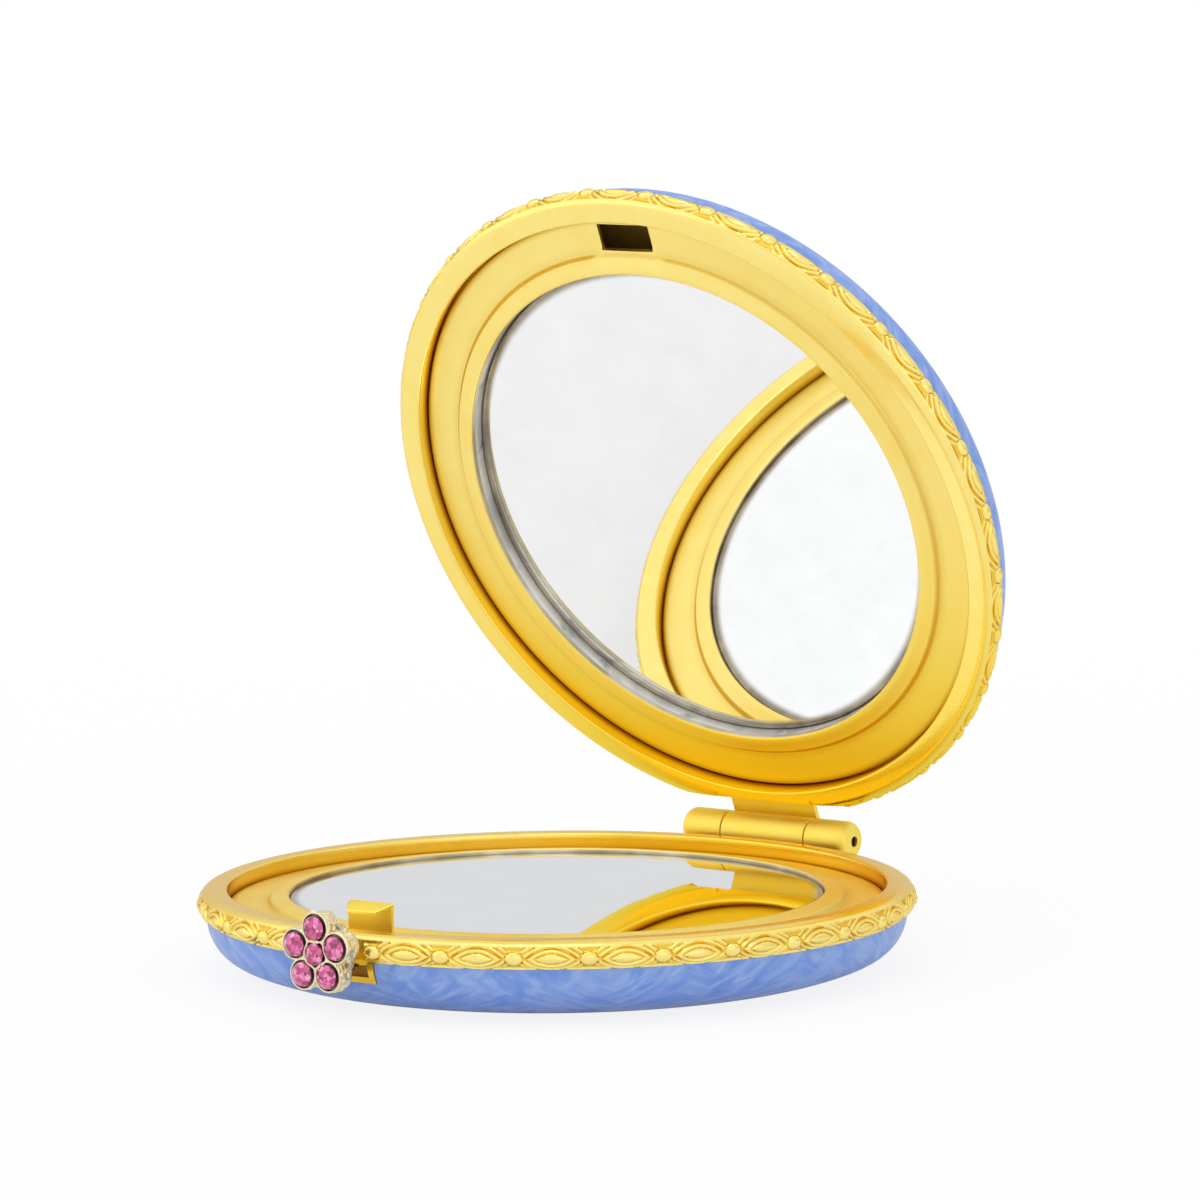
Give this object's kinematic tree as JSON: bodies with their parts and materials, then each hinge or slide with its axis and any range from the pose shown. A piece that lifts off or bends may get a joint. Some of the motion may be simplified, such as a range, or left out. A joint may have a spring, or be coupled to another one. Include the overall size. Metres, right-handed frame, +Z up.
{
  "type": "compact mirror",
  "caption": "Round folding compact mirror with enamelled domed halves, an embossed border, a friction hinge and a sprung flower button set with cut stones that works the latch hook.",
  "frame": {"origin": "middle of the flat foot under the base, on the table", "axes": "+Z up out of the base, +X along the hinge pin, +Y from the button towards the hinge"},
  "size_m": [0.07, 0.0793, 0.0753],
  "materials": {
    "brass": "satin gold plate",
    "white_metal": "pale antiqued plate",
    "enamel": "pearl enamel",
    "mirror": "silvered glass",
    "tinned_steel": "bright tinned",
    "steel": "drawn",
    "pink_glass": "faceted",
    "board": "plain"
  },
  "bodies": {
    "base": {"base_shell": "brass", "base_enamel": "enamel", "base_rim": "brass", "base_bezel": "brass", "base_mirror_pan": "tinned_steel", "base_mirror": "mirror", "base_mirror_pad": "board", "hinge_base_leaf": "brass", "hinge_pin": "steel", "latch_frame": "brass", "latch_spring": "steel"},
    "lid": {"lid_shell": "brass", "lid_enamel": "enamel", "lid_rim": "brass", "lid_bezel": "brass", "lid_mirror_pan": "tinned_steel", "lid_mirror": "mirror", "lid_mirror_pad": "board", "hinge_lid_leaf": "brass"},
    "latch": {"latch_hook": "brass", "latch_post": "brass", "flower_setting": "white_metal", "stone_center": "pink_glass", "stone_petal_1": "pink_glass", "stone_petal_2": "pink_glass", "stone_petal_3": "pink_glass", "stone_petal_4": "pink_glass", "stone_petal_5": "pink_glass"}
  },
  "joints": [
    {"name": "lid_hinge", "type": "hinge", "parent": "base", "child": "lid", "pos_m": [0, 0.037, 0.00835], "axis": [-1, 0, 0], "range_deg": [-67, 58]},
    {"name": "latch_push", "type": "slide", "parent": "base", "child": "latch", "axis": [0, 1, 0], "range_m": [0, 0.0008], "stiffness_N_per_m": 2500, "deforming": ["latch_spring"]}
  ]
}
